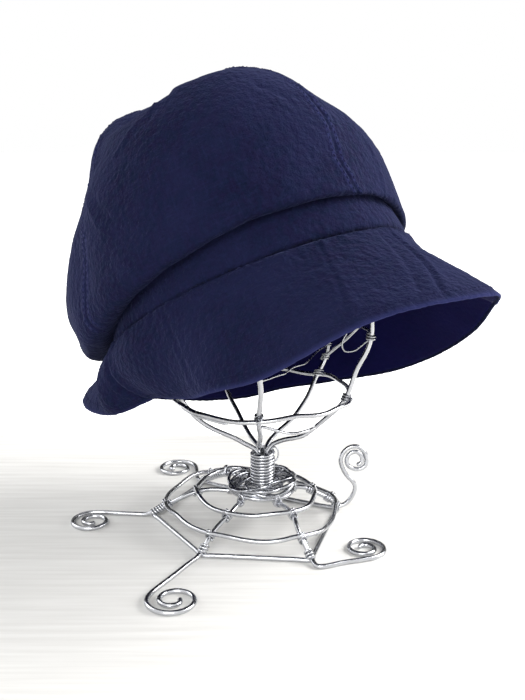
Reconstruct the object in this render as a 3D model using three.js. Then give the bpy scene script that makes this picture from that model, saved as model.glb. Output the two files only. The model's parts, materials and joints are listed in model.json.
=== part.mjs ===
// Soft cloth hat with a drooping brim, tilted back on a hand-bent wire stand.
// Millimetres, +Z up, the hat's front faces -Y, the stand's feet lie on z = 0.
import * as THREE from 'three';

// Hat
const HEAD_DEPTH = 194;
const HEAD_WIDTH = 168;
const CROWN_HEIGHT = 122;
const CROWN_OVERHANG = 12;
const FOLD_RISE = 18;
const FOLD_TUCK = 2.5;
const LIP_DEPTH = 2.4;
const TOP_SHIFT = 14;
const TOP_SHIFT_AZIMUTH = 40;
const TOP_SAG = 13;
const CREASE_DEPTH = 6;
const BRIM_OUT = 42;
const BRIM_DROP = 50;
const CLOTH_WALL = 1.4;
const UNDER_WALL = 1.2;
const LAYER_GAP = 0.3;

// How the hat sits on the stand
const SEAT_FORWARD = 7.5;
const SEAT_RIGHT = 13;
const LEAN_BACK = 30;
const LEAN_SIDE = 3;

// Wire stand
const WIRE = 2.4;
const COIL_WIRE = 1.7;
const WIRE_GAP = 0.3;
const WIRE_SIDES = 5;
const BASE_RADIUS = 62;
const DOME_HEIGHT = 21.5;
const DOME_TOP_RADIUS = 20;
const DOME_ROUNDNESS = 2.2;
const LOWER_RING_SHARE = 0.8;
const UPPER_RING_SHARE = 0.42;
const CORNER_ROUNDING = 0.12;
const FOOT_REACH = 110;
const FOOT_SCROLL_RADIUS = 14;
const SCROLL_TURNS = 1.6;
const SCROLL_INNER = 0.24;
const SCROLL_TIGHTENING = 1.2;
const LANDING_REACH = 8.4;
const BUNDLE_RADIUS = 3.7;
const NECK_HEIGHT = 20;
const NECK_COIL_TURNS = 10;
const CAGE_RADIUS = 66;
const CAGE_HEIGHT = 218.5;
const CURL_RADIUS = 9.5;
const CURL_RISE = 36;

const CLOTH_COLUMNS = 54;
const BRIM_ROWS = 4;

const navy = new THREE.MeshStandardMaterial({ color: 0x20264a, roughness: 0.92, metalness: 0 });
const deepNavy = new THREE.MeshStandardMaterial({ color: 0x17164a, roughness: 0.9, metalness: 0 });
const brightWire = new THREE.MeshStandardMaterial({ color: 0xc4c7cb, roughness: 0.3, metalness: 1 });

const radians = THREE.MathUtils.degToRad;
const vector = (x, y, z) => new THREE.Vector3(x, y, z);
const polar = (azimuth, radius, z) =>
  vector(Math.cos(radians(azimuth)) * radius, Math.sin(radians(azimuth)) * radius, z);

// Crown body: rise is the share of the way from the lip to the top, reach the share of full girth.
const CROWN_SECTIONS = [
  { rise: 0.16, reach: 1.0 },
  { rise: 0.31, reach: 0.995 },
  { rise: 0.45, reach: 0.965 },
  { rise: 0.58, reach: 0.91 },
  { rise: 0.69, reach: 0.83 },
  { rise: 0.79, reach: 0.73 },
  { rise: 0.88, reach: 0.6 },
  { rise: 0.95, reach: 0.44 },
  { rise: 0.99, reach: 0.24 },
];

// Round the hat from the front over the wearer's right: height of the fold's lip above the
// seam as a share of FOLD_RISE, and how far the crown hangs over as a share of CROWN_OVERHANG.
const FOLD_ROUND = [
  { azimuth: 0, lip: 0.9, over: 0.35 },
  { azimuth: 30, lip: 1.0, over: 0.6 },
  { azimuth: 65, lip: 0.8, over: 0.8 },
  { azimuth: 95, lip: 0.45, over: 0.95 },
  { azimuth: 125, lip: 0.05, over: 1.2 },
  { azimuth: 160, lip: 0.12, over: 1.35 },
  { azimuth: 200, lip: 0.05, over: 1.35 },
  { azimuth: 250, lip: 0.2, over: 1.0 },
  { azimuth: 290, lip: 0.3, over: 0.6 },
  { azimuth: 320, lip: 0.35, over: 0.25 },
  { azimuth: 342, lip: 0.7, over: 0.25 },
];

// Brim edge: outward and downward from the seam, and how far the cloth bulges out half way, as
// shares of BRIM_OUT and BRIM_DROP. Below zero the edge lies inside the seam, or the cloth hollows.
const BRIM_ROUND = [
  { azimuth: 0, out: 1.1, drop: 1.09, cup: -0.08 },
  { azimuth: 30, out: 0.92, drop: 1.01, cup: -0.07 },
  { azimuth: 55, out: 0.58, drop: 1.13, cup: 0.0 },
  { azimuth: 72, out: 0.31, drop: 1.05, cup: 0.1 },
  { azimuth: 86, out: -0.06, drop: 0.99, cup: 0.4 },
  { azimuth: 100, out: -0.15, drop: 0.88, cup: 0.85 },
  { azimuth: 113, out: -0.22, drop: 0.78, cup: 1.09 },
  { azimuth: 124, out: 0.21, drop: 0.77, cup: 1.05 },
  { azimuth: 134, out: 0.43, drop: 0.65, cup: 0.31 },
  { azimuth: 145, out: 0.73, drop: 0.43, cup: 0.2 },
  { azimuth: 157, out: 0.92, drop: 0.21, cup: 0.35 },
  { azimuth: 175, out: 0.95, drop: 0.27, cup: -0.1 },
  { azimuth: 195, out: 0.82, drop: 0.54, cup: -0.4 },
  { azimuth: 213, out: 0.58, drop: 0.78, cup: -0.33 },
  { azimuth: 227, out: 0.36, drop: 0.87, cup: -0.15 },
  { azimuth: 243, out: 0.54, drop: 0.99, cup: -0.1 },
  { azimuth: 270, out: 0.81, drop: 1.2, cup: -0.07 },
  { azimuth: 300, out: 0.77, drop: 1.16, cup: -0.08 },
  { azimuth: 320, out: 0.86, drop: 0.97, cup: -0.36 },
  { azimuth: 340, out: 0.76, drop: 1.09, cup: -0.44 },
];

// Creases and swellings of the crown: rise and its span are shares of the crown's body, width is
// in degrees round the hat, depth a share of CREASE_DEPTH, below zero where the cloth swells out.
const CREASES = [
  { azimuth: 0, width: 6, rise: 0.5, span: 0.5, depth: 0.18 },
  { azimuth: 106, width: 7, rise: 0.25, span: 0.45, depth: 0.5 },
  { azimuth: 136, width: 36, rise: 0.62, span: 0.2, depth: 1.6 },
  { azimuth: 142, width: 38, rise: 0.08, span: 0.18, depth: -1.2 },
  { azimuth: 126, width: 26, rise: 0.92, span: 0.07, depth: -1.4 },
  { azimuth: 156, width: 40, rise: 0.975, span: 0.035, depth: 1.4 },
  { azimuth: 200, width: 20, rise: 0.6, span: 0.35, depth: 0.8 },
  { azimuth: 262, width: 15, rise: 0.5, span: 0.35, depth: 0.5 },
  { azimuth: 316, width: 24, rise: 0.85, span: 0.12, depth: 0.8 },
  { azimuth: 338, width: 20, rise: 0.45, span: 0.12, depth: 0.25 },
  { azimuth: 343, width: 20, rise: 0.6, span: 0.12, depth: 1.4 },
  { azimuth: 352, width: 20, rise: 0.75, span: 0.1, depth: 0.7 },
  { azimuth: 24, width: 18, rise: 0.9, span: 0.06, depth: 0.45 },
  { azimuth: 42, width: 16, rise: 0.92, span: 0.05, depth: 0.5 },
  { azimuth: 58, width: 14, rise: 0.92, span: 0.05, depth: 0.7 },
  { azimuth: 72, width: 12, rise: 0.915, span: 0.05, depth: 1.2 },
  { azimuth: 88, width: 13, rise: 0.9, span: 0.06, depth: 0.5 },
  { azimuth: 104, width: 14, rise: 0.89, span: 0.07, depth: -0.2 },
  { azimuth: 120, width: 14, rise: 0.84, span: 0.08, depth: 0.3 },
  { azimuth: 116, width: 20, rise: 0.66, span: 0.1, depth: 0.2 },
  { azimuth: 120, width: 20, rise: 0.36, span: 0.1, depth: 0.2 },
  { azimuth: 126, width: 22, rise: 0.2, span: 0.1, depth: 0.3 },
  { azimuth: 76, width: 13, rise: 0.86, span: 0.07, depth: 0.6 },
  { azimuth: 132, width: 14, rise: 0.0, span: 0.12, depth: 0.5 },
];

// Value of one column of a table that runs once round, smooth through its rows.
function round(table, column, azimuth) {
  const count = table.length;
  const turned = THREE.MathUtils.euclideanModulo(azimuth, 360);
  let row = count - 1;
  while (row > 0 && table[row].azimuth > turned) {
    row -= 1;
  }
  const at = (step) => table[(row + step + count) % count];
  const span = THREE.MathUtils.euclideanModulo(at(1).azimuth - at(0).azimuth, 360);
  const share = (turned - at(0).azimuth) / span;
  const slope = (from, to) =>
    (at(to)[column] - at(from)[column]) /
    THREE.MathUtils.euclideanModulo(at(to).azimuth - at(from).azimuth, 360);
  const square = share * share;
  const cube = square * share;
  return (
    at(0)[column] * (2 * cube - 3 * square + 1) +
    at(1)[column] * (3 * square - 2 * cube) +
    slope(-1, 1) * span * (cube - 2 * square + share) +
    slope(0, 2) * span * (cube - square)
  );
}

function outward(azimuth) {
  return vector(-Math.sin(radians(azimuth)), -Math.cos(radians(azimuth)), 0);
}

function seamPoint(azimuth) {
  const direction = outward(azimuth);
  return vector((direction.x * HEAD_WIDTH) / 2, (direction.y * HEAD_DEPTH) / 2, 0);
}

function bell(distance) {
  return Math.exp(-distance * distance);
}

function creaseDepth(azimuth, rise) {
  let depth = 0;
  for (const crease of CREASES) {
    const away = THREE.MathUtils.euclideanModulo(azimuth - crease.azimuth + 180, 360) - 180;
    depth += crease.depth * bell(away / crease.width) * bell((rise - crease.rise) / crease.span);
  }
  return depth * CREASE_DEPTH;
}

// One upright line of the crown, from the seam over the folded lip to just short of the top.
function crownLine(azimuth) {
  const seam = seamPoint(azimuth);
  const direction = outward(azimuth);
  const lip = round(FOLD_ROUND, 'lip', azimuth) * FOLD_RISE;
  const over = round(FOLD_ROUND, 'over', azimuth) * CROWN_OVERHANG;
  const tucked = Math.max(lip, 0) + LIP_DEPTH;
  const place = (out, height) => seam.clone().addScaledVector(direction, out).setZ(height);
  const bodyFoot = lip + 2 * LIP_DEPTH;
  const line = [
    place(0, LAYER_GAP),
    place(-0.5 * FOLD_TUCK, 0.5 * tucked),
    place(-FOLD_TUCK, tucked + 0.4 * LIP_DEPTH),
    place(0.35 * over - 0.3 * FOLD_TUCK, lip + 0.15 * LIP_DEPTH),
    place(0.8 * over, lip + 0.5 * LIP_DEPTH),
    place(over, bodyFoot + LIP_DEPTH),
  ];
  line[5].addScaledVector(direction, -creaseDepth(azimuth, 0));
  line[4].addScaledVector(direction, -0.8 * creaseDepth(azimuth, 0));
  const shift = outward(TOP_SHIFT_AZIMUTH);
  const girth = seam.clone().addScaledVector(direction, over);
  for (const section of CROWN_SECTIONS) {
    const point = girth.clone().multiplyScalar(section.reach);
    point.addScaledVector(shift, TOP_SHIFT * section.rise * section.rise);
    const behind = (1 - direction.dot(shift)) / 2;
    point.z = THREE.MathUtils.lerp(bodyFoot + LIP_DEPTH, CROWN_HEIGHT, section.rise);
    point.z -= TOP_SAG * behind * Math.pow(section.rise, 3) * section.reach;
    const facing = (section.rise * section.rise * Math.PI) / 2;
    const crease = creaseDepth(azimuth, section.rise);
    point.addScaledVector(direction, -crease * Math.cos(facing));
    point.z -= crease * Math.sin(facing);
    line.push(point);
  }
  return line;
}

// One line of the brim from the edge up to the seam.
function brimLine(azimuth) {
  const seam = seamPoint(azimuth);
  const direction = outward(azimuth);
  const out = round(BRIM_ROUND, 'out', azimuth) * BRIM_OUT;
  const drop = round(BRIM_ROUND, 'drop', azimuth) * BRIM_DROP;
  const cup = round(BRIM_ROUND, 'cup', azimuth) * BRIM_OUT;
  const line = [];
  for (let row = BRIM_ROWS; row >= 0; row -= 1) {
    const share = row / BRIM_ROWS;
    const along = out * share + cup * share * (1 - share);
    line.push(seam.clone().addScaledVector(direction, along).setZ(-drop * share));
  }
  return line;
}

// A body from points and faces, turned inside out if its faces point inward.
function closedBody(points, faces) {
  let volume = 0;
  for (const [a, b, c] of faces) {
    volume += points[a].dot(points[b].clone().cross(points[c]));
  }
  const indices = faces.flatMap(([a, b, c]) => (volume > 0 ? [a, b, c] : [a, c, b]));
  const geometry = new THREE.BufferGeometry().setFromPoints(points);
  geometry.setIndex(indices);
  geometry.computeVertexNormals();
  return geometry;
}

// Cloth between two depths under lines round the hat. A pole closes its top over a level rim.
function clothShell(lines, depth, wall, pole) {
  const columns = lines.length;
  const rows = lines[0].length;
  const at = (column, row) => lines[(column + columns) % columns][row];
  const outer = [];
  const inner = [];
  for (let column = 0; column < columns; column += 1) {
    for (let row = 0; row < rows; row += 1) {
      const across = at(column - 1, row).clone().sub(at(column + 1, row));
      const last = row === rows - 1 && pole ? pole : at(column, Math.min(row + 1, rows - 1));
      const up = last.clone().sub(at(column, Math.max(row - 1, 0)));
      const normal = across.cross(up).normalize();
      const face = at(column, row).clone().addScaledVector(normal, -depth);
      const back = face.clone().addScaledVector(normal, -wall);
      outer.push(face);
      inner.push(pole && row === 0 ? back.setZ(face.z) : back);
    }
  }
  const points = [...outer, ...inner];
  const insideStart = outer.length;
  const faces = [];
  const quad = (a, b, c, d) => faces.push([a, b, c], [a, c, d]);
  for (let column = 0; column < columns; column += 1) {
    const here = column * rows;
    const next = ((column + 1) % columns) * rows;
    for (let row = 0; row < rows - 1; row += 1) {
      quad(next + row, here + row, here + row + 1, next + row + 1);
      const [h, n] = [here + insideStart, next + insideStart];
      quad(n + row, n + row + 1, h + row + 1, h + row);
    }
    quad(here, next, next + insideStart, here + insideStart);
    const top = rows - 1;
    if (pole) {
      faces.push([next + top, here + top, points.length]);
      faces.push([here + top + insideStart, next + top + insideStart, points.length + 1]);
    } else {
      quad(next + top, here + top, here + top + insideStart, next + top + insideStart);
    }
  }
  if (pole) {
    points.push(pole, pole.clone().setZ(pole.z - wall));
  }
  return closedBody(points, faces);
}

// Wire along points. Its section has a flat side that faces away from the first normal.
function wireBody(path, gauge, closed, firstNormal) {
  const count = path.length;
  const at = (step) => (closed ? path[(step + count) % count] : path[Math.min(Math.max(step, 0), count - 1)]);
  const tangents = path.map((_, step) => at(step + 1).clone().sub(at(step - 1)).normalize());
  const normals = [];
  let normal = firstNormal.clone();
  for (const tangent of tangents) {
    normal = normal.clone().addScaledVector(tangent, -normal.dot(tangent)).normalize();
    normals.push(normal);
  }
  const points = [];
  const faces = [];
  path.forEach((centre, step) => {
    const side = tangents[step].clone().cross(normals[step]);
    for (let corner = 0; corner < WIRE_SIDES; corner += 1) {
      const angle = (2 * Math.PI * (corner + 0.5)) / WIRE_SIDES - Math.PI / 2;
      const point = centre.clone().addScaledVector(side, (Math.cos(angle) * gauge) / 2);
      points.push(point.addScaledVector(normals[step], (Math.sin(angle) * gauge) / 2));
    }
  });
  const pieces = closed ? count : count - 1;
  for (let step = 0; step < pieces; step += 1) {
    const here = step * WIRE_SIDES;
    const next = ((step + 1) % count) * WIRE_SIDES;
    for (let corner = 0; corner < WIRE_SIDES; corner += 1) {
      const other = (corner + 1) % WIRE_SIDES;
      faces.push([here + corner, here + other, next + other], [here + corner, next + other, next + corner]);
    }
  }
  if (!closed) {
    const last = (count - 1) * WIRE_SIDES;
    for (let corner = 1; corner < WIRE_SIDES - 1; corner += 1) {
      faces.push([0, corner + 1, corner], [last, last + corner, last + corner + 1]);
    }
  }
  return closedBody(points, faces);
}

// Height of a wire that lies on the floor with its flat side down.
const restHeight = (gauge) => (Math.cos(Math.PI / WIRE_SIDES) * gauge) / 2;
const FLOOR_WIRE = restHeight(WIRE);
const OVER_WIRE = FLOOR_WIRE + WIRE + WIRE_GAP;

// Smooth path through points, nowhere below the floor.
function smooth(points, steps, closed = false) {
  const curve = new THREE.CatmullRomCurve3(points, closed, 'centripetal');
  const spread = curve.getPoints(steps);
  spread.forEach((point) => point.setZ(Math.max(point.z, FLOOR_WIRE)));
  return closed ? spread.slice(0, -1) : spread;
}

// The coil that binds the neck begins above the bend of the leg wires.
const coilFoot = DOME_HEIGHT + 2.6 * WIRE;
const neckTop = coilFoot + NECK_HEIGHT + WIRE / 2;

const stand = new THREE.Group();
const hat = new THREE.Group();

function add(group, name, geometry, material) {
  const mesh = new THREE.Mesh(geometry, material);
  mesh.name = name;
  group.add(mesh);
}

// Legs: azimuth and radius share of the base corner, azimuth and reach share of the foot.
const LEGS = [
  { name: 'leg_right', corner: 185.6, spread: 0.97, foot: 196.3, reach: 1.0, scroll: 1.05 },
  { name: 'leg_front', corner: 249.4, spread: 0.99, foot: 279, reach: 0.66, scroll: 0.9 },
  { name: 'leg_back_left', corner: 76.6, spread: 1.17, foot: 78, reach: 0.97, scroll: 1.0 },
  { name: 'leg_back_right', corner: 126.4, spread: 1.14, foot: 133.4, reach: 0.99, scroll: 0.95 },
];
const CURL_LEG = { name: 'leg_left', corner: 330.4, spread: 0.83, lean: -48 };

function domeHeight(share) {
  return THREE.MathUtils.lerp(OVER_WIRE, DOME_HEIGHT, 1 - Math.pow(share, DOME_ROUNDNESS));
}

function domePoint(leg, share) {
  const corner = leg.spread * BASE_RADIUS;
  return polar(leg.corner, THREE.MathUtils.lerp(DOME_TOP_RADIUS, corner, share), domeHeight(share));
}

// From the neck outward over the dome to just past the base ring.
function domeWire(leg) {
  const bend = 2 * WIRE;
  const line = [
    polar(leg.corner, BUNDLE_RADIUS, coilFoot + NECK_HEIGHT / 2),
    polar(leg.corner, BUNDLE_RADIUS, DOME_HEIGHT + bend),
    polar(leg.corner, BUNDLE_RADIUS + 0.3 * bend, DOME_HEIGHT + 0.3 * bend),
    polar(leg.corner, BUNDLE_RADIUS + bend, DOME_HEIGHT),
  ];
  for (const share of [0, 0.25, 0.5, 0.72, 0.88, 1]) {
    line.push(domePoint(leg, share));
  }
  return line;
}

// Flat scroll, wound inward, that a straight stem from the base ring runs into.
function scrollWire(from, centre, outerRadius) {
  const away = from.clone().sub(centre).setZ(0);
  const first = Math.atan2(away.y, away.x) + Math.acos(outerRadius / away.length());
  const innerRadius = outerRadius * SCROLL_INNER;
  const stepsPerTurn = 13;
  const steps = Math.round(SCROLL_TURNS * stepsPerTurn);
  const line = [];
  for (let step = 0; step <= steps; step += 1) {
    const share = step / steps;
    const angle = first + share * SCROLL_TURNS * 2 * Math.PI;
    const radius = THREE.MathUtils.lerp(outerRadius, innerRadius, share ** SCROLL_TIGHTENING);
    line.push(vector(centre.x + Math.cos(angle) * radius, centre.y + Math.sin(angle) * radius, FLOOR_WIRE));
  }
  return line;
}

for (const leg of LEGS) {
  const over = domeWire(leg);
  const corner = over[over.length - 1];
  const landed = polar(leg.corner, leg.spread * BASE_RADIUS + LANDING_REACH, FLOOR_WIRE);
  const centre = polar(leg.foot, leg.reach * FOOT_REACH, FLOOR_WIRE);
  const scroll = scrollWire(landed, centre, leg.scroll * FOOT_SCROLL_RADIUS);
  const stem = smooth([...over, landed, landed.clone().lerp(scroll[0], 0.5), scroll[0]], 24);
  const path = [...scroll.reverse(), ...stem.reverse().slice(1)];
  add(stand, leg.name, wireBody(path, WIRE, false, vector(0, 0, 1)), brightWire);
}

// The upright curl turns in a plane that stands on the floor.
function curlLeg(leg) {
  const over = domeWire(leg);
  const foot = over[over.length - 1];
  const along = (distance, height) =>
    foot.clone().add(polar(leg.lean, distance, 0)).setZ(OVER_WIRE + height);
  const centre = { along: 1.1 * CURL_RADIUS, height: CURL_RISE - OVER_WIRE };
  const stem = [along(0.55 * CURL_RADIUS, 0.02 * CURL_RISE), along(CURL_RADIUS, 0.16 * CURL_RISE)];
  stem.push(along(1.05 * CURL_RADIUS, 0.36 * CURL_RISE), along(0.5 * CURL_RADIUS, 0.6 * CURL_RISE));
  const steps = 20;
  const turns = 1.7;
  for (let step = 0; step <= steps; step += 1) {
    const angle = Math.PI - (step / steps) * turns * 2 * Math.PI;
    const radius = CURL_RADIUS * (1 - 0.62 * (step / steps));
    stem.push(along(centre.along + Math.cos(angle) * radius, centre.height + Math.sin(angle) * radius));
  }
  return smooth([...over, ...stem], 52);
}
add(stand, CURL_LEG.name, wireBody(curlLeg(CURL_LEG), WIRE, false, polar(CURL_LEG.corner, 1, 0)), brightWire);

// Hoops of the base. The base ring lies on the floor under the legs, the others lie on them.
const ALL_LEGS = [...LEGS, CURL_LEG].sort((a, b) => a.corner - b.corner);

const baseCorners = ALL_LEGS.map((leg) => polar(leg.corner, leg.spread * BASE_RADIUS, FLOOR_WIRE));
const basePath = baseCorners.flatMap((corner, index) => {
  const previous = baseCorners[(index + baseCorners.length - 1) % baseCorners.length];
  const next = baseCorners[(index + 1) % baseCorners.length];
  return [
    corner.clone().lerp(previous, CORNER_ROUNDING),
    corner,
    corner.clone().lerp(next, CORNER_ROUNDING),
  ];
});
add(stand, 'base_ring', wireBody(smooth(basePath, 30, true), WIRE, true, vector(0, 0, 1)), brightWire);

function domeHoop(share) {
  const clear = WIRE + WIRE_GAP;
  const onLegs = ALL_LEGS.map((leg) => {
    const point = domePoint(leg, share);
    const slope = domePoint(leg, share + 0.02).sub(domePoint(leg, share - 0.02)).normalize();
    const away = polar(leg.corner, 1, 0).multiplyScalar(-slope.z);
    away.z = Math.hypot(slope.x, slope.y);
    return point.addScaledVector(away, clear);
  });
  return smooth(onLegs, 30, true);
}
add(stand, 'lower_dome_ring', wireBody(domeHoop(LOWER_RING_SHARE), WIRE, true, vector(0, 0, 1)), brightWire);
add(stand, 'upper_dome_ring', wireBody(domeHoop(UPPER_RING_SHARE), WIRE, true, vector(0, 0, 1)), brightWire);

function roundHoop(radius, height, steps) {
  return Array.from({ length: steps }, (_, step) => polar((360 * step) / steps, radius, height));
}
const nestHeight = DOME_HEIGHT + WIRE + WIRE_GAP;
add(
  stand,
  'nest_ring',
  wireBody(roundHoop(DOME_TOP_RADIUS, nestHeight, 26), WIRE, true, vector(0, 0, 1)),
  brightWire,
);

// The neck's coil lies round the bundle of leg and cage wires.
const coilRadius = BUNDLE_RADIUS + (WIRE + COIL_WIRE) / 2 + WIRE_GAP;
const coilPitch = NECK_HEIGHT / NECK_COIL_TURNS;
const COIL_STEPS = 9;
const coilPath = [];
for (let step = 0; step <= NECK_COIL_TURNS * COIL_STEPS; step += 1) {
  const climb = (coilPitch * step) / COIL_STEPS;
  coilPath.push(polar((360 * step) / COIL_STEPS, coilRadius, coilFoot + climb));
}
add(stand, 'neck_coil', wireBody(coilPath, COIL_WIRE, false, vector(0, 0, 1)), brightWire);

// Cage: share of CAGE_RADIUS at each share of CAGE_HEIGHT above the neck.
const CAGE_PROFILE = [
  { climb: 0.03, reach: 0.2 },
  { climb: 0.06, reach: 0.42 },
  { climb: 0.11, reach: 0.62 },
  { climb: 0.18, reach: 0.78 },
  { climb: 0.28, reach: 0.92 },
  { climb: 0.4, reach: 1.0 },
  { climb: 0.55, reach: 0.97 },
  { climb: 0.7, reach: 0.84 },
  { climb: 0.84, reach: 0.62 },
  { climb: 0.94, reach: 0.36 },
  { climb: 0.985, reach: 0.16 },
];
const CAGE_RIBS = [
  { name: 'cage_rib_right', azimuth: 220 },
  { name: 'cage_rib_back_right', azimuth: 142 },
  { name: 'cage_rib_back_left', azimuth: 72 },
  { name: 'cage_rib_left', azimuth: 357 },
  { name: 'cage_rib_front', azimuth: 297 },
];
const cageLevel = (climb) => neckTop + climb * CAGE_HEIGHT;

for (const rib of CAGE_RIBS) {
  const line = [
    polar(rib.azimuth, BUNDLE_RADIUS, coilFoot + NECK_HEIGHT / 2 + WIRE_GAP),
    polar(rib.azimuth, BUNDLE_RADIUS, neckTop),
  ];
  for (const entry of CAGE_PROFILE) {
    line.push(polar(rib.azimuth, entry.reach * CAGE_RADIUS, cageLevel(entry.climb)));
  }
  line.push(polar(rib.azimuth, BUNDLE_RADIUS, cageLevel(1)));
  const side = polar(rib.azimuth, 1, 0);
  add(stand, rib.name, wireBody(smooth(line, 26), WIRE, false, side), brightWire);
}

// Hoops of the cage, tied to its ribs at one row of the profile: outside above zero, inside below.
const HOOP_STEPS = 30;
function cageHoop(row, side) {
  const [below, here, above] = [row - 1, row, row + 1].map((index) => CAGE_PROFILE[index]);
  const slope = new THREE.Vector2(
    (above.reach - below.reach) * CAGE_RADIUS,
    (above.climb - below.climb) * CAGE_HEIGHT,
  ).normalize();
  const clear = side * (WIRE + WIRE_GAP);
  const radius = here.reach * CAGE_RADIUS + slope.y * clear;
  return roundHoop(radius, cageLevel(here.climb) - slope.x * clear, HOOP_STEPS);
}
add(stand, 'basket_ring', wireBody(cageHoop(3, 1), WIRE, true, vector(0, 0, 1)), brightWire);
add(stand, 'cage_hoop', wireBody(cageHoop(7, -1), WIRE, true, vector(0, 0, 1)), brightWire);

// Cloth of the hat
const azimuths = Array.from({ length: CLOTH_COLUMNS }, (_, column) => (360 * column) / CLOTH_COLUMNS);
const topShift = outward(TOP_SHIFT_AZIMUTH).multiplyScalar(TOP_SHIFT);
const crownTop = vector(topShift.x, topShift.y, CROWN_HEIGHT);
add(hat, 'crown', clothShell(azimuths.map(crownLine), 0, CLOTH_WALL, crownTop), navy);
const brimLines = azimuths.map(brimLine);
add(hat, 'brim', clothShell(brimLines, 0, CLOTH_WALL, null), navy);
const underDepth = CLOTH_WALL + LAYER_GAP;
add(hat, 'under_brim', clothShell(brimLines, underDepth, UNDER_WALL, null), deepNavy);

hat.rotation.set(radians(-LEAN_BACK), radians(LEAN_SIDE), 0, 'XYZ');
hat.position.set(-SEAT_RIGHT, -SEAT_FORWARD, 0);

// The hat is lowered until its crown lies on the cage.
function seatHeight(crown, ribs) {
  const start = -2 * CAGE_HEIGHT;
  hat.position.z = 0;
  hat.updateMatrixWorld(true);
  const ray = new THREE.Raycaster();
  let lowest = Infinity;
  for (const rib of ribs) {
    const places = rib.geometry.attributes.position;
    for (let index = 0; index < places.count; index += 1) {
      const place = vector(0, 0, 0).fromBufferAttribute(places, index);
      ray.set(vector(place.x, place.y, start), vector(0, 0, 1));
      const roof = ray.intersectObject(crown).pop();
      if (place.z > neckTop + CAGE_HEIGHT / 2 && roof) {
        lowest = Math.min(lowest, roof.point.z - place.z);
      }
    }
  }
  return LAYER_GAP - lowest;
}
const cageRibs = CAGE_RIBS.map((rib) => stand.getObjectByName(rib.name));
hat.position.z = seatHeight(hat.getObjectByName('crown'), cageRibs);

// The origin is the bottom centre of the whole object's box.
const part = new THREE.Group();
part.add(stand, hat);
const bounds = new THREE.Box3().setFromObject(part, true);
const centre = bounds.getCenter(vector(0, 0, 0));
part.position.set(-centre.x, -centre.y, -bounds.min.z);
part.updateMatrixWorld(true);

export default part;
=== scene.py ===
import json
import math

import bpy
import numpy as np
from mathutils import Euler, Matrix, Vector, noise

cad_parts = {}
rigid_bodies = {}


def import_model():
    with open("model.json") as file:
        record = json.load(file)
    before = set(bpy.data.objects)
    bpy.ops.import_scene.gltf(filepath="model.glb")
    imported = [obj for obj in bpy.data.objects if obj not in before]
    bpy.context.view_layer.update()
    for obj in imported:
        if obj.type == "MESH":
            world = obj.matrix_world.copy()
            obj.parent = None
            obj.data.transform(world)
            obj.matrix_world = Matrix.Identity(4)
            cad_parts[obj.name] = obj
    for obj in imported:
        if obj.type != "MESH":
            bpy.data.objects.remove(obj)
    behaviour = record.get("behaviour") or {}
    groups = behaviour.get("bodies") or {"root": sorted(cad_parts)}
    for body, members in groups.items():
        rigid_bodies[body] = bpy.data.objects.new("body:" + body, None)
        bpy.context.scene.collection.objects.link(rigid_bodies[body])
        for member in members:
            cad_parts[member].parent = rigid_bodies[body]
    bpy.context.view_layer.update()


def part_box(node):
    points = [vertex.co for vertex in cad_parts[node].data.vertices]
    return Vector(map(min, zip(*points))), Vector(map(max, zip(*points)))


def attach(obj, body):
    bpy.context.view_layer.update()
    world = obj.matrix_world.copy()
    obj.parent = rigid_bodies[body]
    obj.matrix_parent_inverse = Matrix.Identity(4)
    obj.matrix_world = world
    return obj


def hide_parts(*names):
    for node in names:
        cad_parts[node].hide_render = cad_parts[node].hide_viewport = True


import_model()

MM = 0.001
UP = np.array([0, 0, 1.0])
CLOTH_WALL = 1.4
UNDER_WALL = 1.2
LAYER_GAP = 0.3
WIRE = 2.4
COIL_WIRE = 1.7
WIRE_GAP = 0.3
# Gauges as they show, over the CAD's own
ROUND_WIRE = 2.9
ROUND_COIL = 1.95
NEST_WIRE = 2.3
LINK_WIRE = 2.2
BRACE_WIRE = 1.9
BASE_TIE = 1.5
CAGE_TIE = 1.3
LINK_TIE = 1.2
THIN_WIRE = 1.0

# Hat
HEAD_DEPTH = 194
HEAD_WIDTH = 168
CROWN_HEIGHT = 122
CROWN_OVERHANG = 12
FOLD_RISE = 18
FOLD_TUCK = 2.5
LIP_DEPTH = 2.4
TOP_SHIFT = 14
TOP_SHIFT_AZIMUTH = 40
TOP_SAG = 13
CREASE_DEPTH = 6
BRIM_OUT = 42
BRIM_DROP = 50
LEAN_BACK = 30
LEAN_SIDE = 3

# Rise and reach of the crown's sections
CROWN_SECTIONS = [
    (0.16, 1.0), (0.31, 0.995), (0.45, 0.965), (0.58, 0.91), (0.69, 0.83),
    (0.79, 0.73), (0.88, 0.6), (0.95, 0.44), (0.99, 0.24),
]
# Azimuth, lip, over
FOLD_ROUND = [
    (0, 0.9, 0.35), (30, 1.0, 0.6), (65, 0.8, 0.8), (95, 0.45, 0.95), (125, 0.05, 1.2),
    (160, 0.12, 1.35), (200, 0.05, 1.35), (250, 0.2, 1.0), (290, 0.3, 0.6),
    (320, 0.35, 0.25), (342, 0.7, 0.25),
]
# Azimuth, out, drop, cup
BRIM_ROUND = [
    (0, 1.1, 1.09, -0.08), (30, 0.92, 1.01, -0.07), (55, 0.58, 1.13, 0.0), (72, 0.31, 1.05, 0.1),
    (86, -0.06, 0.99, 0.4), (100, -0.15, 0.88, 0.85), (113, -0.22, 0.78, 1.09),
    (124, 0.21, 0.77, 1.05), (134, 0.43, 0.65, 0.31), (145, 0.73, 0.43, 0.2),
    (157, 0.92, 0.21, 0.35), (175, 0.95, 0.27, -0.1), (195, 0.82, 0.54, -0.4),
    (213, 0.58, 0.78, -0.33), (227, 0.36, 0.87, -0.15), (243, 0.54, 0.99, -0.1),
    (270, 0.81, 1.2, -0.07), (300, 0.77, 1.16, -0.08), (320, 0.86, 0.97, -0.36),
    (340, 0.76, 1.09, -0.44),
]
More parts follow.
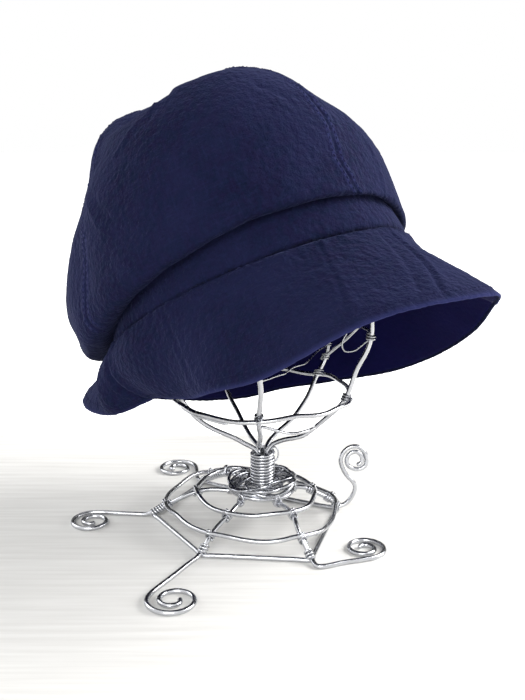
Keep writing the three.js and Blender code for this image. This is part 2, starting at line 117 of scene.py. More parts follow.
# Azimuth, width, rise, span, depth
CREASES = [
    (0, 6, 0.5, 0.5, 0.18), (106, 7, 0.25, 0.45, 0.5), (136, 36, 0.62, 0.2, 1.6),
    (142, 38, 0.08, 0.18, -1.2), (126, 26, 0.92, 0.07, -1.4), (156, 40, 0.975, 0.035, 1.4),
    (200, 20, 0.6, 0.35, 0.8), (262, 15, 0.5, 0.35, 0.5), (316, 24, 0.85, 0.12, 0.8),
    (338, 20, 0.45, 0.12, 0.25), (343, 20, 0.6, 0.12, 1.4), (352, 20, 0.75, 0.1, 0.7),
    (24, 18, 0.9, 0.06, 0.45), (42, 16, 0.92, 0.05, 0.5), (58, 14, 0.92, 0.05, 0.7),
    (72, 12, 0.915, 0.05, 1.2), (88, 13, 0.9, 0.06, 0.5), (104, 14, 0.89, 0.07, -0.2),
    (120, 14, 0.84, 0.08, 0.3), (116, 20, 0.66, 0.1, 0.2), (120, 20, 0.36, 0.1, 0.2),
    (126, 22, 0.2, 0.1, 0.3), (76, 13, 0.86, 0.07, 0.6), (132, 14, 0.0, 0.12, 0.5),
]

# Seams between the crown's four panels: share of the way up, and azimuth there
SEAM_PATHS = [
    [(0, 3), (0.1, 3), (0.16, 8), (0.24, 11), (0.33, 9.5), (0.42, 10), (1, 6)],
    [(0, 109), (0.15, 109), (0.25, 105), (0.34, 101), (0.5, 106), (1, 108)],
    [(0, 180), (1, 180)],
    [(0, 252), (1, 252)],
]
CROWN_SEAMS = tuple(path[-1][1] for path in SEAM_PATHS)
# Sharp folds of the crown: height, width, then azimuth and share of the way up
CROWN_RIDGES = [
    (1.0, 2.4, [(62, 0.6), (66, 0.57), (71, 0.56), (76, 0.53), (80, 0.5)]),
    (1.1, 1.6, [(103, 0.67), (98, 0.6), (95, 0.56), (100, 0.54), (106, 0.52)]),
    (-0.9, 2.2, [(109, 0.67), (104, 0.6), (102, 0.57)]),
    (1.0, 1.7, [(98, 0.47), (95, 0.43), (92, 0.38), (89, 0.33), (86, 0.3)]),
    (-0.8, 2.2, [(94, 0.47), (90, 0.42), (87, 0.37), (84, 0.33)]),
    (0.7, 1.8, [(350, 0.3), (347, 0.25), (348, 0.19), (350, 0.15)]),
    (-0.7, 2.5, [(26, 0.5), (22, 0.46), (19, 0.41)]),
    (-5.0, 7.5, [(90, 0.78), (82, 0.74), (75, 0.69), (68, 0.66), (60, 0.64)]),
    (-2.6, 8.0, [(74, 0.70), (67, 0.71), (60, 0.74), (52, 0.77), (45, 0.79)]),
    (-4.4, 7.0, [(60, 0.63), (67, 0.71), (74, 0.76), (82, 0.81), (92, 0.85), (108, 0.87)]),
    (-2.2, 9.0, [(142, 0.2), (136, 0.16), (130, 0.13), (123, 0.11)]),
]
SEAM_HALF = 2.4
STITCH_LENGTH = 2.3
STITCH_PITCH = 3.2
STITCH_RADIUS = 0.26
# Arch and thickness along a stitch
STITCH_SHAPE = [(-0.3, 0.55), (0.08, 0.95), (0.2, 1.0), (0.08, 0.95), (-0.3, 0.55)]

# Wire stand
BASE_RADIUS = 62
DOME_HEIGHT = 21.5
DOME_TOP_RADIUS = 20
FOOT_REACH = 110
FOOT_SCROLL_RADIUS = 14
SCROLL_TURNS = 1.6
SCROLL_INNER = 0.24
SCROLL_TIGHTENING = 1.2
BUNDLE_RADIUS = 3.7
NECK_HEIGHT = 20
NECK_COIL_TURNS = 10
CAGE_RADIUS = 66
CAGE_HEIGHT = 218.5
CURL_RADIUS = 9.5
CURL_RISE = 36

# Name, corner azimuth, spread, foot azimuth, reach, scroll
LEGS = [
    ("leg_right", 185.6, 0.97, 196.3, 1.0, 1.05),
    ("leg_front", 249.4, 0.99, 279, 0.66, 0.9),
    ("leg_back_left", 76.6, 1.17, 78, 0.97, 1.0),
    ("leg_back_right", 126.4, 1.14, 133.4, 0.99, 0.95),
]
CURL_LEG = ("leg_left", 330.4, 0.83)
CURL_LEAN = -48
# Climb and reach of the cage's outline
CAGE_PROFILE = [
    (0.03, 0.2), (0.06, 0.42), (0.11, 0.62), (0.18, 0.78), (0.28, 0.92), (0.4, 1.0),
    (0.55, 0.97), (0.7, 0.84), (0.84, 0.62), (0.94, 0.36), (0.985, 0.16),
]
CAGE_RIBS = [
    ("cage_rib_right", 220), ("cage_rib_back_right", 142), ("cage_rib_back_left", 72),
    ("cage_rib_left", 357), ("cage_rib_front", 297),
]

FLOOR_WIRE = math.cos(math.pi / 5) * WIRE / 2
OVER_WIRE = FLOOR_WIRE + WIRE + WIRE_GAP
COIL_FOOT = DOME_HEIGHT + 2.6 * WIRE
NECK_TOP = COIL_FOOT + NECK_HEIGHT + WIRE / 2


def centre_of(node):
    low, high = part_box(node)
    return (low + high) / 2 / MM


ring_centre = centre_of("cage_hoop")
STAND_AXIS = np.array([ring_centre.x, ring_centre.y, 0.0])


def lerp(low, high, share):
    return low + (high - low) * share


def bell(distance):
    return np.exp(-np.square(distance))


def norm(rows):
    return np.linalg.norm(rows, axis=-1)


def gaps(rows):
    """Distances between rows that follow each other."""
    return norm(np.diff(rows, axis=0))


def unit(rows):
    return rows / np.maximum(norm(rows), 1e-9)[..., None]


def polar(azimuth, radius, height):
    angle = math.radians(azimuth)
    return np.array([math.cos(angle) * radius, math.sin(angle) * radius, height], float)


def outward(azimuths):
    angle = np.radians(azimuths)
    return np.stack([-np.sin(angle), -np.cos(angle), np.zeros_like(angle)], axis=-1)


def turned_to(azimuths, azimuth):
    """Degrees from one azimuth to each other one, between -180 and 180."""
    return np.mod(azimuths - azimuth + 180, 360) - 180


def hermite(low, high, slope_in, slope_out, share):
    square, cube = share**2, share**3
    return (
        low * (2 * cube - 3 * square + 1) + high * (3 * square - 2 * cube)
        + slope_in * (cube - 2 * square + share) + slope_out * (cube - square)
    )


def round_table(table, column, azimuths):
    """Value of one column of a table that runs once round the hat, smooth through its rows."""
    rows = np.array(table, float)
    places, values = rows[:, 0], rows[:, column]
    turned = np.mod(azimuths, 360)
    here = np.searchsorted(places, turned, side="right") - 1
    near = (here + np.arange(-1, 3)[:, None]) % len(table)
    before, low, high, after = values[near]
    first, gap, last = np.mod(np.diff(places[near], axis=0), 360)
    slope_in = (high - before) / (first + gap) * gap
    slope_out = (after - low) / (gap + last) * gap
    return hermite(low, high, slope_in, slope_out, (turned - places[here]) / gap)


def curve_through(rows, counts, before, after):
    """Rows on centripetal curves through control rows, with a count of samples for each span."""
    padded = np.concatenate([before[None], rows, after[None]])
    steps = np.maximum(gaps(padded), 1e-6) ** 0.5
    sampled = []
    for span, count in enumerate(counts):
        p0, p1, p2, p3 = padded[span : span + 4]
        t0, t1, t2 = (step[..., None] for step in steps[span : span + 3])
        first = ((p1 - p0) / t0 - (p2 - p0) / (t0 + t1) + (p2 - p1) / t1) * t1
        second = ((p2 - p1) / t1 - (p3 - p1) / (t1 + t2) + (p3 - p2) / t2) * t1
        sampled += [hermite(p1, p2, first, second, step / count) for step in range(count)]
    sampled.append(rows[-1])
    return np.array(sampled)


def smooth_path(points, spacing, closed=False):
    """Points about one spacing apart on a smooth path through the given ones."""
    rows = np.array(points, float)
    if closed:
        before, after = rows[-1], rows[1]
        rows = np.concatenate([rows, rows[:1]])
    else:
        before, after = 2 * rows[0] - rows[1], 2 * rows[-1] - rows[-2]
    counts = [max(1, round(gap / spacing)) for gap in gaps(rows)]
    path = curve_through(rows, counts, before, after)
    return path[:-1] if closed else path


# Crown and brim surfaces in the hat's own frame

def crease_depth(azimuths, rise):
    depth = 0
    for azimuth, width, level, span, amount in CREASES:
        away = turned_to(azimuths, azimuth)
        depth = depth + amount * bell(away / width) * bell((rise - level) / span)
    return depth * CREASE_DEPTH


def seam_points(azimuths):
    return outward(azimuths) * np.array([HEAD_WIDTH / 2, HEAD_DEPTH / 2, 0])


TOP_TURN = outward(np.array(TOP_SHIFT_AZIMUTH, float))
CROWN_TOP = TOP_TURN * TOP_SHIFT + np.array([0, 0, CROWN_HEIGHT])


def crown_rows(azimuths):
    """Control rows of the crown, from the seam over the folded lip to just short of the top."""
    seam = seam_points(azimuths)
    direction = outward(azimuths)
    lip = round_table(FOLD_ROUND, 1, azimuths) * FOLD_RISE
    over = round_table(FOLD_ROUND, 2, azimuths) * CROWN_OVERHANG
    tucked = np.maximum(lip, 0) + LIP_DEPTH
    foot = lip + 2 * LIP_DEPTH
    crease = crease_depth(azimuths, 0)
    even = np.ones_like(lip)
    profile = [
        (0 * even, LAYER_GAP * even),
        (-0.5 * FOLD_TUCK * even, 0.5 * tucked),
        (-FOLD_TUCK * even, tucked + 0.4 * LIP_DEPTH),
        (0.35 * over - 0.3 * FOLD_TUCK, lip + 0.15 * LIP_DEPTH),
        (0.8 * over - 0.8 * crease, lip + 0.5 * LIP_DEPTH),
        (over - crease, foot + LIP_DEPTH),
    ]
    rows = [seam + direction * out[:, None] + UP * up[:, None] for out, up in profile]
    girth = seam + direction * over[:, None]
    behind = (1 - direction @ TOP_TURN) / 2
    for rise, reach in CROWN_SECTIONS:
        row = girth * reach + TOP_TURN * TOP_SHIFT * rise**2
        row[:, 2] = lerp(foot + LIP_DEPTH, CROWN_HEIGHT, rise) - TOP_SAG * behind * rise**3 * reach
        facing = rise**2 * math.pi / 2
        crease = crease_depth(azimuths, rise)
        row -= direction * (crease * math.cos(facing))[:, None]
        row[:, 2] -= crease * math.sin(facing)
        rows.append(row)
    return np.array(rows)


def brim_point(azimuths, share):
    """Brim surface: share 0 at the seam and 1 at the edge."""
    out = round_table(BRIM_ROUND, 1, azimuths) * BRIM_OUT
    drop = round_table(BRIM_ROUND, 2, azimuths) * BRIM_DROP
    cup = round_table(BRIM_ROUND, 3, azimuths) * BRIM_OUT
    along = out * share + cup * share * (1 - share)
    flat = seam_points(azimuths) + outward(azimuths) * along[:, None]
    return flat - UP * (drop * share)[:, None]


LEAN = np.array(Euler((math.radians(-LEAN_BACK), 0, 0)).to_matrix()) @ np.array(
    Euler((0, math.radians(LEAN_SIDE), 0)).to_matrix()
)


def hat_place():
    """Where the hat's own origin lies, so that its crown fills the box of the CAD crown."""
    azimuths = np.arange(54) * 360 / 54
    leaned = np.concatenate([crown_rows(azimuths).reshape(-1, 3), [CROWN_TOP]]) @ LEAN.T
    low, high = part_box("crown")
    cad_middle = np.array((low + high) / 2) / MM
    return cad_middle - (leaned.min(0) + leaned.max(0)) / 2


HAT_PLACE = hat_place()


def onto_stand(points):
    return points @ LEAN.T + HAT_PLACE


# Meshes

def add_object(name, data):
    item = bpy.data.objects.new(name, data)
    bpy.context.scene.collection.objects.link(item)
    return item


def filled(values, shape):
    padded = np.zeros(shape, np.float32)
    padded[: len(values)] = values
    return padded.ravel()


def make_mesh(name, points, faces, material, nodes=(), uvs=None, wear_and_highlight=()):
    mesh = bpy.data.meshes.new(name)
    mesh.from_pydata((points * MM).tolist(), [], faces)
    if uvs is not None:
        layer = mesh.uv_layers.new(name="cloth")
        layer.data.foreach_set("uv", filled(uvs, (len(mesh.loops), 2)))
        layer = mesh.attributes.new("wear_and_highlight", "FLOAT", "POINT")
        layer.data.foreach_set("value", filled(wear_and_highlight, len(points)))
    mesh.polygons.foreach_set("use_smooth", [True] * len(mesh.polygons))
    mesh.materials.append(material)
    mesh.update()
    piece = add_object(name, mesh)
    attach(piece, "root")
    if nodes:
        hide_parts(*nodes)


def grid_faces(rows, columns, first=0, flip=False, closed=False):
    """Quads of a grid that runs once round, and is closed over its rows too where asked. They
    face outward where the rows climb, and flip turns them over."""
    row, here = np.meshgrid(np.arange(rows - 1 + closed), np.arange(columns), indexing="ij")
    beside = (here + 1) % columns
    row, above = row * columns, (row + 1) % rows * columns
    quads = np.stack([row + here, above + here, above + beside, row + beside], axis=-1)
    quads = quads.reshape(-1, 4)
    if flip:
        quads = quads[:, ::-1]
    return (quads + first).tolist()


def fan_faces(first, count, pole, flip=False):
    """Triangles from a closed row to a pole."""
    sides = [first + (np.arange(count) + 1) % count, first + np.arange(count)]
    if flip:
        sides.reverse()
    return np.stack([*sides, np.full(count, pole)], axis=-1).tolist()


def tube_faces(first, count, sides, closed=False, shift=0):
    """Quads between a tube's rings, and the ends of an open one. The last ring of a closed one
    meets its first ring turned by a shift of corners."""
    ring, corner = np.meshgrid(np.arange(count - 1 + closed), np.arange(sides), indexing="ij")
    ahead = (ring + 1) % count
    turn = np.where(ahead == 0, shift, 0)
    here, there = first + ring * sides, first + ahead * sides
    after = (corner + 1) % sides
    far, near = there + (after + turn) % sides, there + (corner + turn) % sides
    quads = np.stack([here + corner, here + after, far, near], axis=-1)
    faces = quads.reshape(-1, 4).tolist()
    if not closed:
        faces.append([first + corner for corner in reversed(range(sides))])
        faces.append([first + (count - 1) * sides + corner for corner in range(sides)])
    return faces


def grid_uvs(left, right, run, flip=False):
    """Thread coordinates of each quad's corners: left and right are measured round the hat at
    the two sides of each column, run along it."""
    far = np.roll(run, -1, axis=1)
    corners = [
        (left[:-1], run[:-1]), (left[1:], run[1:]), (right[1:], far[1:]), (right[:-1], far[:-1]),
    ]
    if flip:
        corners.reverse()
    return np.stack([np.stack(corner, axis=-1) for corner in corners], axis=2).reshape(-1, 2)


def grid_normals(grid):
    """Normals that point outward where the rows climb."""
    across = np.roll(grid, -1, axis=1) - np.roll(grid, 1, axis=1)
    return unit(np.cross(np.gradient(grid, axis=0), across))


def noise_at(points, size, seed):
    scaled = points.reshape(-1, 3) / size + seed
    values = [noise.noise(Vector(place)) for place in scaled]
    return np.array(values).reshape(points.shape[:-1])


def flat_noise(across, along, size, seed):
    places = np.broadcast_arrays(across, along, 0.0)
    return noise_at(np.stack(places, axis=-1), size, seed)


def crinkle(points):
    """Height of washed double cloth: shallow blisters with narrow valleys between them."""
    large = np.abs(noise_at(points, 5.6, 3.0))
    small = np.abs(noise_at(points, 2.9, 11.0))
    return 0.62 * large + 0.4 * small


def run_lengths(grid):
    """Distance along a path, or along each column of a grid, from the first row."""
    steps = gaps(grid)
    return np.concatenate([np.zeros_like(steps[:1]), np.cumsum(steps, axis=0)])


def denser_azimuths(spacing, fine, reach, places):
    """Azimuths round the hat, finer near the given places."""
    azimuths = []
    azimuth = 0.0
    while azimuth < 360:
        azimuths.append(azimuth)
        near = min(abs(turned_to(azimuth + fine / 2, place)) for place in places)
        azimuth += fine if near < reach else spacing
    return np.array(azimuths)


def nearest_column(azimuths, azimuth):
    return int(np.abs(turned_to(azimuths, azimuth)).argmin())


def seam_azimuth(path, shares):
    return np.interp(shares, *zip(*path))


def seam_distance(azimuths, grid, shares):
    """Signed distance of each point from the nearest seam, in millimetres."""
    turns = np.stack([turned_to(azimuths[None], seam_azimuth(path, shares)) for path in SEAM_PATHS])
    nearest = np.abs(turns).argmin(axis=0)
    turn = np.take_along_axis(turns, nearest[None], axis=0)[0]
    return np.radians(turn) * norm(grid[..., :2] - CROWN_TOP[:2])


def ridge_relief(azimuths, grid, shares):
    """Height of the crown's sharp folds at each point."""
    relief = np.zeros(grid.shape[:2])
    for height, width, places in CROWN_RIDGES:
        line = []
        for azimuth, share in places:
            column = nearest_column(azimuths, azimuth)
            line.append(grid[np.abs(shares[:, column] - share).argmin(), column])
        line = smooth_path(line, 1.0)
        nearest = np.full(grid.shape[:2], np.inf)
        for place, fade in zip(line, np.sin(np.linspace(0.1, math.pi - 0.1, len(line)))):
            nearest = np.minimum(nearest, norm(grid - place) / (width * (0.4 + 0.6 * fade)))
        relief += height * bell(nearest)
    return relief


def seam_relief(distance, length):
    """Height beside a seam: a groove, two stitched ridges, and the puckers that stitching makes."""
    groove = -0.6 * bell(distance / 0.75)
    ridges = 0.32 * bell((np.abs(distance) - SEAM_HALF) / 1.4)
    pinched = -0.22 * bell((np.abs(distance) - SEAM_HALF) / 0.45)
    pucker = 0.75 * flat_noise(distance / 2.2, length, 3.9, 4.5)
    return groove + ridges + pinched + pucker * bell((np.abs(distance) - 3.6) / 3.6)


# Materials

def new_material(name):
    material = bpy.data.materials.new(name)
    material.use_nodes = True
    tree = material.node_tree
    shader = tree.nodes["Principled BSDF"]
    return material, tree, shader


def add_node(tree, kind, **settings):
    node = tree.nodes.new(kind)
    for key, value in settings.items():
        if key in node.inputs:
            node.inputs[key].default_value = value
        else:
            setattr(node, key, value)
    return node


def feed(value, socket):
    """Link a socket to another one, or give it a value."""
    if isinstance(value, bpy.types.NodeSocket):
        socket.id_data.links.new(value, socket)
    else:
        socket.default_value = value


def mix_colour(factor, low, high):
    mixer = add_node(factor.id_data, "ShaderNodeMix", data_type="RGBA")
    feed(factor, mixer.inputs["Factor"])
    for socket, value in ((mixer.inputs[6], low), (mixer.inputs[7], high)):
        feed((*value, 1) if isinstance(value, tuple) else value, socket)
    return mixer.outputs[2]


def math_node(operation, first, second):
    node = add_node(first.id_data, "ShaderNodeMath", operation=operation)
    feed(first, node.inputs[0])
    feed(second, node.inputs[1])
    return node.outputs[0]


def noise_node(vector, scale, detail, roughness=0.5):
    settings = {"Scale": scale, "Detail": detail, "Roughness": roughness}
    texture = add_node(vector.id_data, "ShaderNodeTexNoise", **settings)
    feed(vector, texture.inputs["Vector"])
    return texture.outputs["Fac"]


def add_bump(height, strength, distance, below=None):
    bump = add_node(height.id_data, "ShaderNodeBump", Strength=strength, Distance=distance)
    feed(height, bump.inputs["Height"])
    if below is not None:
        feed(below, bump.inputs["Normal"])
    return bump.outputs["Normal"]


def stretched_noise(vector, stretch):
    """Noise drawn out along the threads."""
    mapping = add_node(vector.id_data, "ShaderNodeMapping", Scale=stretch)
    feed(vector, mapping.inputs["Vector"])
    return noise_node(mapping.outputs["Vector"], 0.9, 3.0, 0.6)


def ranged(value, low, high, out_low=0.0, out_high=1.0):
    node = add_node(value.id_data, "ShaderNodeMapRange")
    for socket, given in zip(node.inputs, (value, low, high, out_low, out_high)):
        feed(given, socket)
    return node.outputs["Result"]


def cloth_material(name, dark, light, worn_and_lit, sheen, tint, weave, crinkled):
    """Washed cotton: woven threads, slubs, crinkled blisters and uneven dye, with a paler tone from
    a mesh attribute: wear beside the crown seams, and a painted highlight where the brim's rolled
    hem turns.
    """
    material, tree, shader = new_material(name)
    place = add_node(tree, "ShaderNodeTexCoord").outputs
    dye = noise_node(place["Object"], 22.0, 4.0, 0.6)
    fleck = noise_node(place["Object"], 520.0, 3.0, 0.75)
    blister = noise_node(place["Object"], 300.0, 2.5, 0.6)
    mottle = noise_node(place["Object"], 210.0, 2.0)
    cells = add_node(tree, "ShaderNodeTexVoronoi", feature="SMOOTH_F1", Scale=330.0)
    feed(place["Object"], cells.inputs["Vector"])
    waves = []
    for way in "XY":
        wave = add_node(tree, "ShaderNodeTexWave", bands_direction=way, Scale=weave)
        wave.inputs["Distortion"].default_value = 0.8
        feed(place["UV"], wave.inputs["Vector"])
        waves.append(wave.outputs["Fac"])
    threads = math_node("MULTIPLY", *waves)
    upright = stretched_noise(place["UV"], (1.0, 0.07, 1.0))
    slubs = math_node("MAXIMUM", upright, stretched_noise(place["UV"], (0.07, 1.0, 1.0)))
    cool = (0.72 * dark[0], 1.12 * dark[1], dark[2])
    warm = (1.25 * dark[0], 0.82 * dark[1], dark[2])
    colour = mix_colour(ranged(mottle, 0.4, 0.6), warm, cool)
    colour = mix_colour(ranged(dye, 0.35, 0.65, 0.0, 0.7), colour, light)
    colour = mix_colour(ranged(fleck, 0.42, 0.78, 0.0, 0.8), colour, light)
    colour = mix_colour(ranged(slubs, 0.55, 0.85, 0.0, 0.2), colour, worn_and_lit)
    # Paler tone from the mesh attribute: wear on the crown, and a painted highlight on the brim's
    # rolled hem
    wear_and_highlight = add_node(tree, "ShaderNodeAttribute", attribute_name="wear_and_highlight")
    feed(mix_colour(wear_and_highlight.outputs["Fac"], colour, worn_and_lit), shader.inputs["Base Color"])
    bumps = (
        (threads, 0.4, 0.0003), (slubs, 0.2 * crinkled, 0.001),
        (cells.outputs["Distance"], 0.4 * crinkled, 0.0014), (blister, crinkled, 0.0016),
    )
    normal = None
    for height, strength, distance in bumps:
        normal = add_bump(height, strength, distance, normal)
    feed(normal, shader.inputs["Normal"])
    shader.inputs["Roughness"].default_value = 0.95
    shader.inputs["Specular IOR Level"].default_value = 0.07
    shader.inputs["Sheen Weight"].default_value = sheen
    shader.inputs["Sheen Roughness"].default_value = 0.4
    shader.inputs["Sheen Tint"].default_value = (*tint, 1)
    return material


def wire_material(name, colour, roughness):
    """Bright drawn wire: small tool marks, shallow waves and uneven polish."""
    material, tree, shader = new_material(name)
    place = add_node(tree, "ShaderNodeTexCoord").outputs["Object"]
    marks = noise_node(place, 900.0, 3.0, 0.6)
    waves = noise_node(place, 130.0, 2.0)
    polish = ranged(marks, 0.3, 0.7, roughness - 0.07, roughness + 0.1)
    feed(polish, shader.inputs["Roughness"])
    tone = mix_colour(waves, tuple(0.82 * part for part in colour), colour)
    feed(tone, shader.inputs["Base Color"])
    first = add_bump(waves, 0.35, 0.0006)
    feed(add_bump(marks, 0.15, 0.0002, first), shader.inputs["Normal"])
    shader.inputs["Metallic"].default_value = 1.0
    return material


# The third colour is the paler tone of slubs and of the mesh attribute, which paints the highlight
# on the brim's rolled hem
navy = cloth_material(
    "navy_cloth", (0.0044, 0.0057, 0.0230), (0.0102, 0.0124, 0.0440), (0.027, 0.031, 0.110),
    0.07, (0.38, 0.45, 1.0), 0.45, 0.95,
)
deep_navy = cloth_material(
    "deep_navy_cloth", (0.0022, 0.0022, 0.0270), (0.0034, 0.0033, 0.040), (0.009, 0.009, 0.065),
    0.02, (0.3, 0.3, 1.0), 0.6, 0.3,
)
thread = cloth_material(
    "navy_thread", (0.0078, 0.0090, 0.032), (0.0140, 0.0160, 0.051), (0.022, 0.025, 0.074),
    0.07, (0.45, 0.5, 1.0), 1.2, 0.1,
)
bright_wire = wire_material("bright_wire", (0.60, 0.61, 0.64), 0.2)
tie_wire = wire_material("tie_wire", (0.46, 0.47, 0.50), 0.22)

# Crown cloth

# Degrees between columns, and between them within reach of a seam
COLUMN_STEP = 0.95
SEAM_STEP = 0.42
SEAM_REACH = 7
CROWN_SPACING = 1.3
INSIDE_SPACING = 4.5
INSIDE_COLUMNS = 120
# Share of the way up at which the crown leaves its fold, and how soon the cloth is free
FOLD_SHARE = 0.085
FREE_SHARE = 0.05


def crown_grid(azimuths, spacing):
    rows = crown_rows(azimuths)
    top = np.broadcast_to(CROWN_TOP, rows[0].shape)
    rows = np.concatenate([rows, top[None]])
    across = crown_rows(azimuths + 180)[-1]
    counts = [max(2, round(gap / spacing)) for gap in gaps(rows).mean(axis=1)]
    return curve_through(rows, counts, 2 * rows[0] - rows[1], across)


def panel_uvs(azimuths, grid, lengths):
    """Thread coordinates of each quad corner, laid flat panel by panel."""
    edges = np.sort(np.mod(np.array(CROWN_SEAMS, float), 360))
    middles = edges + np.mod(np.roll(edges, -1) - edges, 360) / 2
    after = np.append(azimuths[1:], azimuths[0] + 360)
    panel = np.abs(turned_to((azimuths + after)[None] / 2, middles[:, None])).argmin(axis=0)
    radius = norm(grid[..., :2] - CROWN_TOP[:2])
    left = np.radians(turned_to(azimuths, middles[panel]))[None] * radius
    right = np.radians(turned_to(after, middles[panel]))[None] * np.roll(radius, -1, axis=1)
    return grid_uvs(left, right, lengths)


def crown_surface():
    azimuths = denser_azimuths(COLUMN_STEP, SEAM_STEP, SEAM_REACH, CROWN_SEAMS)
    grid = crown_grid(azimuths, CROWN_SPACING)
    lengths = run_lengths(grid)
    normals = grid_normals(grid)
    shares = lengths / lengths[-1]
    away = seam_distance(azimuths, grid, shares)
    body = np.clip(grid[..., 2] / 12, 0, 1)
    calm = np.clip(norm(grid - CROWN_TOP) / 14, 0.15, 1)
    soft = 1.1 * noise_at(grid, 34, 1.0) + 0.5 * noise_at(grid, 17, 5.0)
    free = (shares - FOLD_SHARE) / FREE_SHARE
    relief = seam_relief(away, lengths) * calm * np.clip(free, 0.15, 1)
    relief = relief - 1.3 * bell(grid[..., 2] / 1.5) + ridge_relief(azimuths, grid, shares)
    height = relief + soft * body + 0.45 * crinkle(grid) - 0.2
    shaped = grid + normals * height[..., None]
    shaped[0, :, 2] -= 1.6
    shaped[-1] = shaped[-1].mean(axis=0)
    wear_and_highlight = 0.45 * bell((np.abs(away) - SEAM_HALF) / 0.9) * calm * np.clip(free, 0.1, 1)
    return azimuths, shaped, lengths, wear_and_highlight


crown_azimuths, crown_outer, crown_lengths, crown_wear = crown_surface()


def make_crown():
    outer = crown_outer[:-1]
    rows, columns = outer.shape[:2]
    pole = rows * columns
    faces = grid_faces(rows, columns) + fan_faces(pole - columns, columns, pole)
    # Inner face, coarser than the outer one
    around = INSIDE_COLUMNS
    inside = crown_grid(np.arange(around) * 360 / around, INSIDE_SPACING)
    inside = inside - grid_normals(inside) * CLOTH_WALL
    inside[0, :, 2] = -1.2
    start = pole + 1
    inner_pole = start + (len(inside) - 1) * around
    faces += grid_faces(len(inside) - 1, around, start, flip=True)
    faces += fan_faces(inner_pole - around, around, inner_pole, flip=True)
    # Rim between the two faces
    owner = np.floor(crown_azimuths * around / 360).astype(int) % around
    for part in range(around):
        members = np.nonzero(owner == part)[0].tolist()
        chain = [*members, (members[-1] + 1) % columns]
        faces.append([*chain, start + (part + 1) % around, start + part])
    points = [
        outer.reshape(-1, 3), crown_outer[-1][:1],
        inside[:-1].reshape(-1, 3), inside[-1].mean(axis=0)[None],
    ]
    make_mesh(
        "crown_cloth", onto_stand(np.concatenate(points)), faces, navy, ["crown"],
        panel_uvs(crown_azimuths, outer, crown_lengths[:-1]), crown_wear[:-1].ravel(),
    )


make_crown()

# Brim cloth, with its rolled hem, and the cloth under it

BRIM_COLUMNS = 560
BRIM_ROWS = 44
UNDER_ROWS = 30
UNDER_SHARE = 0.988
HEM_WIDTH = 4.5
HEM_RADIUS = 0.85
# Radial folds of the brim: azimuth at the seam and at the edge, then depth, half width, step
BRIM_FOLDS = [
    (-3, 14, 1.1, 1.1, 0.0), (3, 19, 0.5, 1.4, 0.0), (27, 34, 0.5, 0.9, 0.0),
    (117, 115, 1.0, 1.3, 1.0), (52, 50, 0.3, 1.0, 0.0), (82, 76, 0.4, 1.4, 0.0),
]


def brim_grid(columns, shares):
    azimuths = np.arange(columns) * 360 / columns
    grid = np.array([brim_point(azimuths, share) for share in shares])
    return azimuths, grid, -grid_normals(grid), run_lengths(grid)


def brim_uvs(azimuths, run, flip=False):
    """Thread coordinates of a grid round the brim, whose rows lie at given runs."""
    wide = np.radians(np.append(azimuths, 360)) * 100
    left, right = (np.broadcast_to(side, run.shape) for side in (wide[:-1], wide[1:]))
    return grid_uvs(left, right, run, flip)


